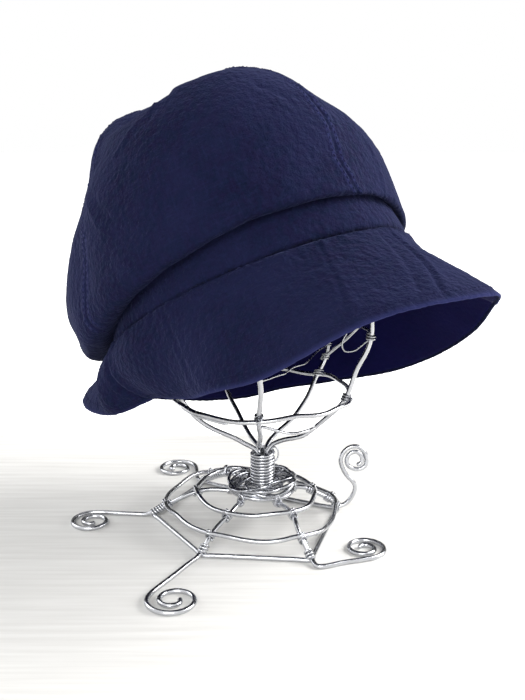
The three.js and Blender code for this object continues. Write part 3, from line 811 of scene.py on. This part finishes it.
def make_brim():
    shares = np.linspace(0, 1, BRIM_ROWS)
    azimuths, grid, normals, lengths = brim_grid(BRIM_COLUMNS, shares)
    left = lengths[-1][None] - lengths
    tucked = bell(lengths / 1.7)
    puckers = flat_noise(np.radians(azimuths) * 100, lengths / 3.2, 4.4, 6.5)
    waves = 0.9 * noise_at(grid, 30, 7.0) * np.clip(lengths / 12, 0, 1)
    crease = 0
    for near, far, depth, wide, step in BRIM_FOLDS:
        away = np.radians(turned_to(azimuths[None], lerp(near, far, shares)[:, None])) * 105
        ramp = 1 / (1 + np.exp(-away / wide)) * bell(np.maximum(away, 0) / 14)
        fold = 0.7 * bell((np.abs(away) - 2.6 * wide) / (1.4 * wide)) - bell(away / wide)
        moved = depth * fold * (np.abs(away) < 60) - step * ramp
        crease = crease + moved * np.clip(left / 7, 0.1, 1)
    hem_dip = -0.35 * bell((left - HEM_WIDTH) / 0.8)
    height = (
        waves + 0.5 * crinkle(grid) + 0.3 * np.abs(noise_at(grid, 2.1, 6.0)) - 0.2 - 1.4 * tucked
        + 0.9 * puckers * bell((lengths - 3.5) / 4.5) + 0.3 * puckers * bell((left - 5) / 3)
        + crease + hem_dip - 0.9 * bell(left / 3)
    )
    face = grid + normals * height[..., None]
    # Edge where the upper cloth turns round and meets the under cloth
    outgoing = unit(face[-1] - face[-2])
    edge_axis = face[-1] - normals[-1] * HEM_RADIUS + outgoing * 0.5
    hem_rows = []
    lumps = 1 + 0.12 * noise_at(grid[-1], 4.0, 9.0)[:, None]
    for turn in range(30, 181, 30):
        angle = math.radians(turn)
        ring = normals[-1] * math.cos(angle) + outgoing * math.sin(angle)
        hem_rows.append(edge_axis + ring * HEM_RADIUS * lumps)
    hem_rows.append(hem_rows[-1] - outgoing * 0.5 + normals[-1] * 0.7)
    # Inner face of the upper cloth, from the hem back to the seam
    _, inner, inward, _ = brim_grid(BRIM_COLUMNS, (0.94, 0.75, 0.5, 0.25, 0.0))
    walls = np.array([0.75, 1, 1, 1, 1]) * CLOTH_WALL
    inner = inner + inward * walls[:, None, None]
    rows = np.concatenate([face, hem_rows, inner])
    faces = grid_faces(len(rows), BRIM_COLUMNS, flip=True, closed=True)
    run = np.concatenate([lengths, lengths[-1:] + np.linspace(1, 12, len(hem_rows))[:, None]])
    run = np.concatenate([run, run[-1:] + np.linspace(4, 50, len(inner))[:, None]])
    # Paler tone at the brim's edge and on the turn of its rolled hem: a painted highlight where the
    # edge catches light, with some wear
    wear_and_highlight = np.zeros(rows.shape[:2])
    wear_and_highlight[:BRIM_ROWS] = 0.25 * bell(left / 0.7)
    wear_and_highlight[BRIM_ROWS : BRIM_ROWS + 2] = 0.6
    wear_and_highlight[BRIM_ROWS + 2 : BRIM_ROWS + 4] = 1.0
    make_mesh(
        "brim_cloth", onto_stand(rows.reshape(-1, 3)), faces, navy, ["brim"],
        brim_uvs(azimuths, run, flip=True), wear_and_highlight.ravel(),
    )
    return azimuths, face, left, lengths


brim_azimuths, brim_face, brim_left, brim_lengths = make_brim()


def make_under_brim():
    columns = BRIM_COLUMNS // 2
    shares = np.linspace(0, UNDER_SHARE, UNDER_ROWS)
    azimuths, grid, normals, lengths = brim_grid(columns, shares)
    depth = CLOTH_WALL + LAYER_GAP
    soft = 0.5 * noise_at(grid, 22, 2.0) * np.clip(lengths / 10, 0, 1)
    soft = np.minimum(soft + 0.15 * crinkle(grid), 0.25)
    edge = np.clip((shares - 0.8) / (shares[-1] - 0.8), 0, 1)[:, None] ** 2
    top = grid - normals * lerp(depth, 1.7, edge)[..., None]
    low = grid - normals * lerp(depth + UNDER_WALL - soft, 2.5, edge)[..., None]
    rows = np.concatenate([low, top[::-1]])
    make_mesh(
        "under_brim_cloth", onto_stand(rows.reshape(-1, 3)),
        grid_faces(len(rows), columns, closed=True), deep_navy, ["under_brim"],
        brim_uvs(azimuths, run_lengths(rows)),
    )


make_under_brim()

# Stitches

def along_path(rows, run, at):
    """Rows of a path at given runs along it."""
    return np.stack([np.interp(at, run, rows[:, axis]) for axis in range(3)], axis=-1)


def stitch_rows(name, paths):
    """One mesh of short threads that follow paths; each path is points and their normals."""
    sides = 6
    angles = 2 * math.pi * np.arange(sides)[:, None] / sides
    points, faces = [], []
    for path, normals in paths:
        run = run_lengths(path)
        for start in np.arange(0.5, run[-1] - STITCH_LENGTH, STITCH_PITCH):
            at = start + np.linspace(0, 1, len(STITCH_SHAPE)) * STITCH_LENGTH
            line, ups = along_path(path, run, at), along_path(normals, run, at)
            tangent = unit(line[-1] - line[0])
            faces += tube_faces(len(points) * sides, len(at), sides)
            for place, up, (arch, thick) in zip(line, ups, STITCH_SHAPE):
                side = unit(np.cross(tangent, up))
                spokes = side * np.cos(angles) * 1.25 + up * np.sin(angles)
                points.append(place + up * arch + spokes * thick * STITCH_RADIUS)
    make_mesh(name, onto_stand(np.concatenate(points)), faces, thread)


# Rows of the crown that lie in the fold, and reach of its bare top, where no stitch shows
FOLDED_ROWS = 15
STITCH_FREE_TOP = 12


def crown_stitch_paths():
    """Two rows of stitches beside each panel seam, from the folded lip to near the top."""
    normals = grid_normals(crown_outer)
    shares = crown_lengths / crown_lengths[-1]
    paths = []
    for path in SEAM_PATHS:
        foot = nearest_column(crown_azimuths, path[0][1])
        for side in (-1, 1):
            line, ups = [], []
            for row in range(FOLDED_ROWS, len(crown_outer) - 1):
                ring = crown_outer[row]
                if norm(ring - CROWN_TOP).min() < STITCH_FREE_TOP:
                    break
                seam = float(seam_azimuth(path, shares[row, foot]))
                column = nearest_column(crown_azimuths, seam)
                radius = norm(ring[column, :2] - CROWN_TOP[:2])
                place = np.mod(seam + side * math.degrees(SEAM_HALF / radius), 360)
                right = np.searchsorted(crown_azimuths, place) % len(crown_azimuths)
                left = right - 1
                gap = turned_to(crown_azimuths[right], crown_azimuths[left])
                share = turned_to(place, crown_azimuths[left]) / gap
                line.append(lerp(ring[left], ring[right], share))
                ups.append(lerp(normals[row, left], normals[row, right], share))
            paths.append((np.array(line), unit(np.array(ups))))
    return paths


stitch_rows("crown_seam_stitches", crown_stitch_paths())


def brim_stitch_paths():
    """A row of stitches just below the brim's seam, and one inside its hem."""
    paths = []
    for measure, wanted in ((brim_lengths, 2.6), (-brim_left, -HEM_WIDTH)):
        line, ups = (
            np.array([
                along_path(grid[:, column], measure[:, column], wanted)
                for column in (*range(BRIM_COLUMNS), 0)
            ])
            for grid in (brim_face, -grid_normals(brim_face))
        )
        paths.append((line, unit(ups)))
    return paths


stitch_rows("brim_stitches", brim_stitch_paths())

# Wires

def wobble(path):
    """Unevenness of wire bent by hand: one field for all wires, so that crossings stay clear."""
    lift = np.clip((path[:, 2] - ROUND_WIRE / 2) / 12, 0, 1)[:, None]
    moves = np.stack([noise_at(path, 24, seed) for seed in (20.0, 40.0, 60.0)], axis=-1)
    return path + moves * 2.6 * lift


WIRE_SIDES = 12
THIN_SIDES = 8


def wire_mesh(name, paths, gauge, material, nodes=(), sides=WIRE_SIDES):
    """Round wires with domed ends along paths of (points, closed)."""
    angles = 2 * math.pi * np.arange(sides)[:, None] / sides
    points, faces = [], []
    for path, closed in paths:
        if closed:
            tangents = unit(np.roll(path, -1, axis=0) - np.roll(path, 1, axis=0))
        else:
            tangents = unit(np.gradient(path, axis=0))
        normal = UP if abs(tangents[0][2]) < 0.9 else np.array([1.0, 0, 0])
        spokes = []
        for tangent in tangents:
            normal = unit(normal - tangent * (normal @ tangent))
            spokes.append(np.cos(angles) * normal + np.sin(angles) * np.cross(tangent, normal))
        rings = [place + spoke * gauge / 2 for place, spoke in zip(path, spokes)]
        shift = 0
        if closed:
            # The frame turns a little on its way, so the last ring meets the first one turned
            shift = int(norm(spokes[0] - spokes[-1][0]).argmin())
        else:
            rings.insert(0, path[0] - tangents[0] * gauge * 0.28 + spokes[0] * gauge * 0.26)
            rings.append(path[-1] + tangents[-1] * gauge * 0.28 + spokes[-1] * gauge * 0.26)
        faces += tube_faces(len(points) * sides, len(rings), sides, closed, shift)
        points += rings
    make_mesh(name, np.concatenate(points), faces, material, nodes)


def on_stand(path):
    placed = np.array(path, float)
    placed[:, 2] = np.maximum(placed[:, 2], ROUND_WIRE / 2)
    return wobble(placed) + STAND_AXIS


def loose_wires(name, lines, spacing, gauge, material=tie_wire, sides=THIN_SIDES):
    paths = [(on_stand(smooth_path(line, spacing)), False) for line in lines]
    wire_mesh(name, paths, gauge, material, sides=sides)


def add_wire(node, line, spacing, closed=False):
    """A thick wire that takes the place of a CAD node."""
    path = on_stand(smooth_path(line, spacing, closed))
    wire_mesh(node + "_wire", [(path, closed)], ROUND_WIRE, bright_wire, [node])


def dome_point(leg, share):
    radius = lerp(DOME_TOP_RADIUS, leg[2] * BASE_RADIUS, share)
    return polar(leg[1], radius, lerp(OVER_WIRE, DOME_HEIGHT, 1 - share**2.2))


def dome_wire(leg):
    line = [polar(leg[1], BUNDLE_RADIUS, COIL_FOOT + NECK_HEIGHT / 2)]
    for out, up in ((0, 2), (0.6, 0.6), (2, 0)):
        line.append(polar(leg[1], BUNDLE_RADIUS + out * WIRE, DOME_HEIGHT + up * WIRE))
    return line + [dome_point(leg, share) for share in (0, 0.25, 0.5, 0.72, 0.88, 1)]


def scroll_wire(start, centre, outer_radius):
    away = start - centre
    turn = math.acos(outer_radius / norm(away))
    first = math.atan2(away[1], away[0]) + turn
    steps = 27
    line = []
    for step in range(steps + 1):
        share = step / steps
        angle = first + share * SCROLL_TURNS * 2 * math.pi
        radius = outer_radius * lerp(1, SCROLL_INNER, share**SCROLL_TIGHTENING)
        spoke = np.array([math.cos(angle), math.sin(angle), 0]) * radius
        line.append(centre + spoke)
    return line


def leg_path(leg):
    line = dome_wire(leg)
    landed = polar(leg[1], leg[2] * BASE_RADIUS + 3.5 * WIRE, FLOOR_WIRE)
    centre = polar(leg[3], leg[4] * FOOT_REACH, FLOOR_WIRE)
    scroll = scroll_wire(landed, centre, leg[5] * FOOT_SCROLL_RADIUS)
    return line + [landed, lerp(landed, scroll[0], 0.5)] + scroll


def curl_path(leg):
    line = dome_wire(leg)
    foot = line[-1]

    def along(distance, height):
        place = foot + polar(CURL_LEAN, distance, 0)
        place[2] = OVER_WIRE + height
        return place

    middle, level = 1.1 * CURL_RADIUS, CURL_RISE - OVER_WIRE
    for out, rise in ((0.55, 0.02), (1, 0.16), (1.05, 0.36), (0.5, 0.6)):
        line.append(along(out * CURL_RADIUS, rise * CURL_RISE))
    for step in range(21):
        angle = math.pi - step / 20 * 1.7 * 2 * math.pi
        radius = CURL_RADIUS * (1 - 0.62 * step / 20)
        line.append(along(middle + math.cos(angle) * radius, level + math.sin(angle) * radius))
    return line


for leg in LEGS:
    add_wire(leg[0], leg_path(leg), 2.0)
add_wire(CURL_LEG[0], curl_path(CURL_LEG), 1.6)

ALL_LEGS = sorted([*LEGS, CURL_LEG], key=lambda leg: leg[1])


def base_path():
    corners = [polar(leg[1], leg[2] * BASE_RADIUS, FLOOR_WIRE) for leg in ALL_LEGS]
    line = []
    for index, corner in enumerate(corners):
        before = corners[index - 1]
        after = corners[(index + 1) % len(corners)]
        line += [lerp(corner, before, 0.12), corner, lerp(corner, after, 0.12)]
    return line


def dome_hoop(share):
    line = []
    for leg in ALL_LEGS:
        slope = unit(dome_point(leg, share + 0.02) - dome_point(leg, share - 0.02))
        away = polar(leg[1], 1, 0) * -slope[2]
        away[2] = math.hypot(slope[0], slope[1])
        line.append(dome_point(leg, share) + away * (WIRE + WIRE_GAP))
    return line


def round_hoop(radius, height, steps):
    return [polar(360 * step / steps, radius, height) for step in range(steps)]


def cage_level(climb):
    return NECK_TOP + climb * CAGE_HEIGHT


def cage_hoop(row, side):
    below, here, above = CAGE_PROFILE[row - 1 : row + 2]
    out, up = (above[1] - below[1]) * CAGE_RADIUS, (above[0] - below[0]) * CAGE_HEIGHT
    slope = unit(np.array([out, up]))
    clear = side * (WIRE + WIRE_GAP)
    radius = here[1] * CAGE_RADIUS + slope[1] * clear
    return round_hoop(radius, cage_level(here[0]) - slope[0] * clear, 30)


HOOPS = {
    "base_ring": base_path(),
    "lower_dome_ring": dome_hoop(0.8),
    "upper_dome_ring": dome_hoop(0.42),
    "nest_ring": round_hoop(DOME_TOP_RADIUS, DOME_HEIGHT + WIRE + WIRE_GAP, 26),
    "basket_ring": cage_hoop(3, 1),
    "cage_hoop": cage_hoop(7, -1),
}
for name, line in HOOPS.items():
    add_wire(name, line, 2.0, closed=True)

for name, azimuth in CAGE_RIBS:
    middle, top = COIL_FOOT + NECK_HEIGHT / 2 + WIRE_GAP, cage_level(1)
    line = [polar(azimuth, BUNDLE_RADIUS, height) for height in (middle, NECK_TOP, top)]
    line[2:2] = [
        polar(azimuth, reach * CAGE_RADIUS, cage_level(climb)) for climb, reach in CAGE_PROFILE
    ]
    add_wire(name, line, 2.2)

COIL_SLACK = 0.8
COIL_STEPS = 24
coil_radius = BUNDLE_RADIUS + (WIRE + COIL_WIRE) / 2 + WIRE_GAP + COIL_SLACK
coil_line = []
for step in range(NECK_COIL_TURNS * COIL_STEPS + 1):
    uneven = 0.25 * math.sin(step / 7.0)
    height = COIL_FOOT + NECK_HEIGHT * step / (NECK_COIL_TURNS * COIL_STEPS)
    coil_line.append(polar(360 * step / COIL_STEPS, coil_radius + uneven, height))
coil = np.array(coil_line) + STAND_AXIS
wire_mesh("neck_coil_wire", [(coil, False)], ROUND_COIL, bright_wire, ["neck_coil"])

# Wire turns that tie the rings to the legs and ribs, and the loose wires

def tie_round(centre, ahead, toward, turns, length, gauge, over=WIRE):
    """Turns of wire round a wire of the stand, which bulge by over where another one crosses."""
    along = unit(ahead - centre)
    toward = unit(toward - along * (toward @ along))
    side = np.cross(along, toward)
    radius = (ROUND_WIRE + gauge) / 2 + 0.05
    steps = int(turns * 14)
    line = []
    for step in range(steps + 1):
        share = step / steps
        shift = (share - 0.5) * length
        angle = share * turns * 2 * math.pi + 0.9
        bulge = over * max(0.0, math.cos(angle)) ** 1.5 * float(bell(shift / (0.45 * WIRE + gauge)))
        spoke = toward * math.cos(angle) * (radius + bulge) + side * math.sin(angle) * radius
        place = centre + along * shift + spoke
        line.append([place[0], place[1], max(place[2], gauge / 2)])
    return on_stand(smooth_path(line, 0.8)), False


# Share of the way down the dome, turns, length and gauge of the ties at each ring
RING_TIES = [(0.8, 2.6, 4.6, 1.5), (0.42, 2.6, 4.6, 1.5), (0.04, 1.6, 3.0, 1.3)]
ties = []
for leg in ALL_LEGS:
    for share, turns, length, gauge in RING_TIES:
        here, ahead = dome_point(leg, share), dome_point(leg, share + 0.04)
        ties.append(tie_round(here, ahead, UP, turns, length, gauge))
    here, ahead = dome_point(leg, 0.97), dome_point(leg, 1.0)
    long_tie = leg[0] == "leg_back_right"
    turns, length = (5.6, 11.5) if long_tie else (2.6, 4.8)
    start = dome_point(leg, 0.93) if long_tie else here
    ties.append(tie_round(start, start + ahead - here, -UP, turns, length, 1.6, 0.0))
    if leg[0] == "leg_back_left":
        here, ahead = dome_point(leg, 0.62), dome_point(leg, 0.66)
        ties.append(tie_round(here, ahead, UP, 7.2, 21, 2.2, 0.0))
wire_mesh("base_ties", ties, BASE_TIE, bright_wire, sides=THIN_SIDES)


def rib_point(azimuth, row, share=0.0):
    climb = lerp(CAGE_PROFILE[row][0], CAGE_PROFILE[row + 1][0], share)
    reach = lerp(CAGE_PROFILE[row][1], CAGE_PROFILE[row + 1][1], share)
    return polar(azimuth, reach * CAGE_RADIUS, cage_level(climb))


def rib_line(*places):
    return [rib_point(*place) for place in places]


ties = []
for _, azimuth in CAGE_RIBS:
    for row, side in ((3, 1), (7, -1)):
        here, ahead = rib_line((azimuth, row), (azimuth, row, 0.2))
        toward = polar(azimuth, side, -0.6)
        ties.append(tie_round(here, ahead, toward, 2.7, 4.4, CAGE_TIE))
wire_mesh("cage_ties", ties, CAGE_TIE, tie_wire, sides=THIN_SIDES)


def nest_path():
    """One long wire scribbled round the foot of the neck, on top of the leg wires."""
    line = []
    for step in range(220):
        angle = step * 0.21
        radius = 16.4 + 5.8 * math.sin(angle * 1.17) + 2.8 * math.sin(angle * 2.37 + 1.0)
        lift = 1.9 * math.sin(angle * 1.31 + 0.5) + 1.3 * math.sin(angle * 2.9)
        slope = 1.5 * math.cos(angle + 0.8)
        height = DOME_HEIGHT + WIRE + 3.6 + lift + slope
        line.append(polar(math.degrees(angle), max(radius, 8.6), height))
    return line


nest = smooth_path(nest_path(), 1.6) + STAND_AXIS
wire_mesh("nest_winding_wire", [(nest, False)], NEST_WIRE, tie_wire, sides=THIN_SIDES)

# Two short wires of the basket: one beside the ring, one sloping from rib to rib
climb, reach = CAGE_PROFILE[3]
spot = 1.03 * CAGE_RADIUS * reach, cage_level(climb) - 3.4
beside = [polar(turn, *spot) for turn in range(158, 206, 6)]
sloping = rib_line((222, 2, 0.6), (240, 2, 0.1), (270, 1, 0.9), (297, 1, 0.5))
loose_wires("basket_braces", (beside, sloping), 2.0, BRACE_WIRE, bright_wire, WIRE_SIDES)
link = rib_line((297, 4, 0.65), (312, 4, 0.6), (328, 4, 0.5), (342, 4, 0.1), (357, 3, 0.5))
loose_wires("basket_link", [link], 2.0, LINK_WIRE, bright_wire, WIRE_SIDES)
thin = rib_line((220, 4, 0.1), (357, 3, 0.9))
thin.insert(1, polar(290, 0.3 * CAGE_RADIUS, cage_level(0.25)))
# Steps of a curled end beside the front rib, toward the image's right and up
CURLED_END = [(1.2, 0), (-3.0, -4.2), (-8.0, -9.0), (-12.4, -9.4), (-14.6, -4.8), (-13.2, 1.2)]
curled_end = [rib_point(297, 4, 0.65) + polar(312, side, up) for side, up in CURLED_END]
loose_wires("basket_thin_wire", (thin, curled_end), 1.6, THIN_WIRE)
neck_loop = [
    polar(326, 7.8 + 3.0 * math.cos(turn), NECK_TOP - 4.6 + 4.4 * math.sin(turn))
    for turn in np.radians(np.arange(150, -200, -35))
]
loose_wires("neck_loop", [neck_loop], 1.0, THIN_WIRE)
high_ties = []
for azimuth, row, share in ((297, 4, 0.65), (357, 3, 0.5), (357, 3, 0.9)):
    here, ahead = rib_line((azimuth, row, share), (azimuth, row, share + 0.15))
    toward = polar(azimuth, 1, 0)
    high_ties.append(tie_round(here, ahead, toward, 2.6, 4.0, LINK_TIE, 1.2))
wire_mesh("basket_link_ties", high_ties, LINK_TIE, tie_wire, sides=THIN_SIDES)

# Stage, light and camera

def stage_material(name, low, high, scale, stretch):
    material, tree, shader = new_material(name)
    place = add_node(tree, "ShaderNodeTexCoord")
    mapping = add_node(tree, "ShaderNodeMapping", vector_type="TEXTURE", Scale=stretch)
    mapping.inputs["Rotation"].default_value = (0, 0, math.radians(VIEW_AZIMUTH))
    feed(place.outputs["Object"], mapping.inputs["Vector"])
    grain = noise_node(mapping.outputs["Vector"], scale, 4.0)
    feed(mix_colour(grain, low, high), shader.inputs["Base Color"])
    shader.inputs["Roughness"].default_value = 0.6
    return material


def stage_box(name, low, high, material):
    """A flat slab whose long side faces the camera."""
    (x0, y0, z0), (x1, y1, z1) = low, high
    outline = [(x0, y0), (x1, y0), (x1, y1), (x0, y1)]
    corners = np.array([(x, y, z) for z in (z0, z1) for x, y in outline])
    faces = [(3, 2, 1, 0), (4, 5, 6, 7), (0, 1, 5, 4), (1, 2, 6, 5), (2, 3, 7, 6), (3, 0, 4, 7)]
    mesh = bpy.data.meshes.new(name)
    turn = np.array(Euler((0, 0, math.radians(VIEW_AZIMUTH))).to_matrix())
    mesh.from_pydata((corners @ turn.T + STAND_AXIS * MM).tolist(), [], faces)
    mesh.materials.append(material)
    slab = add_object(name, mesh)


VIEW_AZIMUTH = -48
# Middle of the hat over the stand's foot, where the lights point
AIM = Vector((0, 0, 0.16))
board = stage_material(
    "pale_board", (0.66, 0.65, 0.622), (0.93, 0.925, 0.905), 26.0, (2.4, 0.1, 1.0),
)
white_floor = stage_material("white_floor", (0.93,) * 3, (0.95,) * 3, 4.0, (1, 1, 1))
floor_shader = white_floor.node_tree.nodes["Principled BSDF"]
floor_shader.inputs["Emission Color"].default_value = (1, 1, 1, 1)
floor_shader.inputs["Emission Strength"].default_value = 0.85
stage_box("board", (-1.4, -1.6, -0.02), (1.4, 0.16, 0.0), board)
stage_box("floor", (-6.0, -6.0, -0.03), (6.0, 6.0, -0.02), white_floor)


def area_light(name, azimuth, distance, height, size, power, colour):
    """A light aimed at the hat. Its azimuth is 0 on the camera's side, and above 0 to the left."""
    data = bpy.data.lights.new(name, "AREA")
    data.shape = "RECTANGLE"
    data.size, data.size_y = size
    data.energy = power
    data.color = colour
    light = add_object(name, data)
    angle = math.radians(VIEW_AZIMUTH - azimuth)
    spot = Vector((math.sin(angle) * distance, -math.cos(angle) * distance, height))
    light.location = Vector(STAND_AXIS * MM) + spot
    light.rotation_euler = (AIM - spot).to_track_quat("-Z", "Y").to_euler()


for item in list(bpy.data.objects):
    if item.type in ("LIGHT", "CAMERA"):
        bpy.data.objects.remove(item)
area_light("key", -97, 1.1, 0.85, (0.8, 1.0), 29.5, (1.0, 0.99, 0.98))
area_light("rim", 110, 1.2, 0.7, (0.8, 1.0), 8, (0.97, 0.98, 1.0))
area_light("front", 8, 1.5, 0.95, (0.9, 0.9), 19, (1.0, 1.0, 1.0))

world = bpy.data.worlds.new("studio")
bpy.context.scene.world = world
world.use_nodes = True
tree = world.node_tree
tree.nodes.clear()
parts = add_node(tree, "ShaderNodeSeparateXYZ")
rays = add_node(tree, "ShaderNodeLightPath")
feed(add_node(tree, "ShaderNodeTexCoord").outputs["Generated"], parts.inputs[0])


def background(strength):
    node = add_node(tree, "ShaderNodeBackground")
    node.inputs["Color"].default_value = (1, 1, 1, 1)
    feed(strength, node.inputs["Strength"])
    return node.outputs[0]


def by_ray(kind, others, these):
    node = add_node(tree, "ShaderNodeMixShader")
    for socket, value in zip(node.inputs, (rays.outputs[kind], others, these)):
        feed(value, socket)
    return node.outputs[0]


# Metal sees a bright room on the camera's side and above, and a dim one behind the stand
turn = math.radians(VIEW_AZIMUTH)
forward_x = math_node("MULTIPLY", parts.outputs["X"], -math.sin(turn))
forward_y = math_node("MULTIPLY", parts.outputs["Y"], math.cos(turn))
forward = math_node("ADD", forward_x, forward_y)
panels = ranged(forward, -0.1, 0.4, 1.1, 0.05)
ceiling = ranged(parts.outputs["Z"], 0.5, 0.75, 0.0, 0.9)
mirrored = background(math_node("MAXIMUM", panels, ceiling))
soft_dome = background(ranged(parts.outputs["Z"], -0.1, 0.8, 0.60, 0.26))
glossy = by_ray("Is Glossy Ray", soft_dome, mirrored)
output = add_node(tree, "ShaderNodeOutputWorld")
feed(by_ray("Is Camera Ray", glossy, background(1.0)), output.inputs["Surface"])

camera_data = bpy.data.cameras.new("camera")
camera_data.lens = 46.29
camera_data.sensor_width = 36
camera_data.clip_end = 50
camera = add_object("camera", camera_data)
camera.location = ((STAND_AXIS + np.array([-394.5, -355.2, 253.0])) * MM).tolist()
camera.rotation_euler = (math.radians(75.3), 0, math.radians(VIEW_AZIMUTH))
bpy.context.scene.camera = camera
bpy.context.scene.view_settings.view_transform = "Standard"
